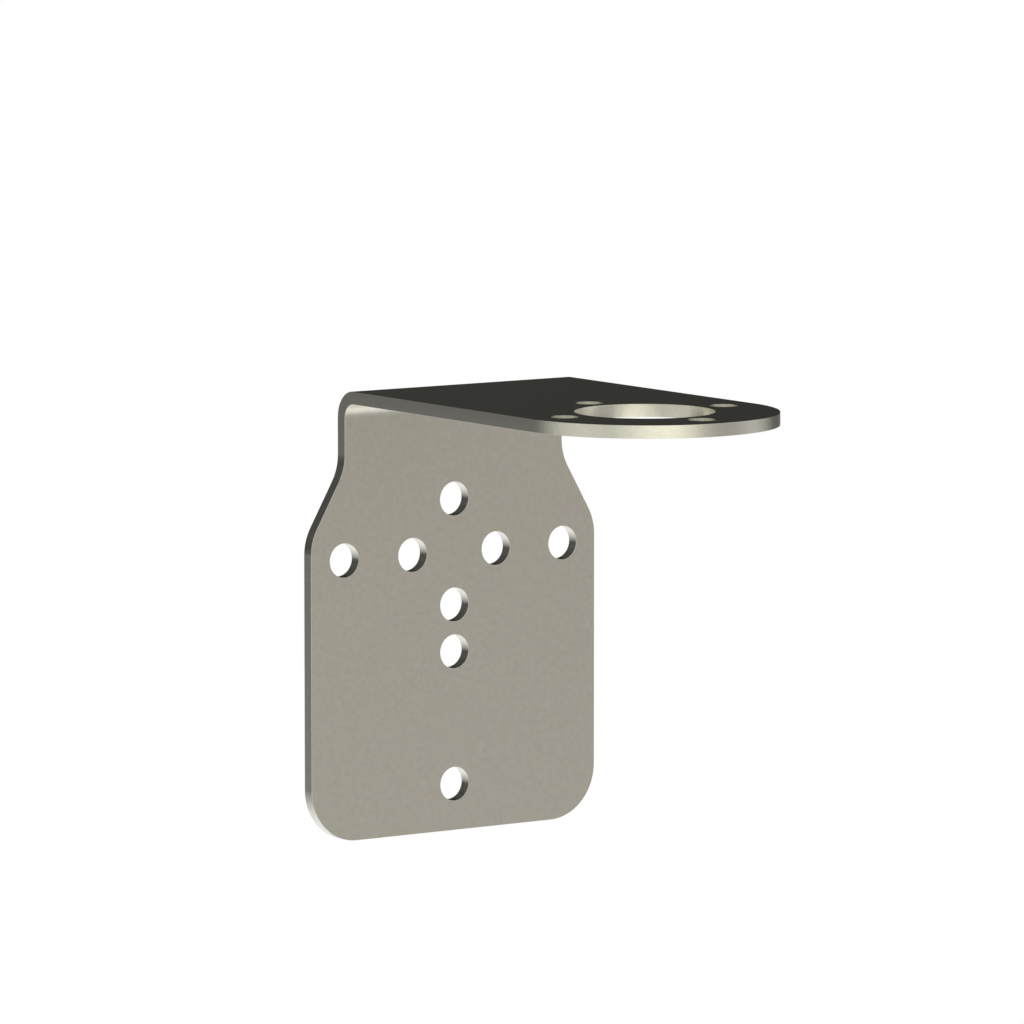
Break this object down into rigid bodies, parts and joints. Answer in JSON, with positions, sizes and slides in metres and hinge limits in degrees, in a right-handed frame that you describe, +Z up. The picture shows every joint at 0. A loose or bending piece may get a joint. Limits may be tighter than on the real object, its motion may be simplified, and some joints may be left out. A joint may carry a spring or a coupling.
{
  "type": "sensor mounting bracket",
  "caption": "Right-angle folded steel bracket: a pierced wall plate with sloping shoulders and a round-ended arm that carries a sensor in its large hole.",
  "frame": {"origin": "on the plate's back face, on the centre line, at the middle of the row of four holes", "axes": "+X across the plate to the right as seen from the front, +Y into the wall, +Z up; the arm runs along -Y"},
  "size_m": [0.08, 0.1106, 0.1057],
  "materials": {
    "steel": "satin stainless sheet with a very fine mill grain, warm grey, with plain cut edges"
  },
  "bodies": {
    "root": {"bracket": "steel"}
  },
  "joints": []
}
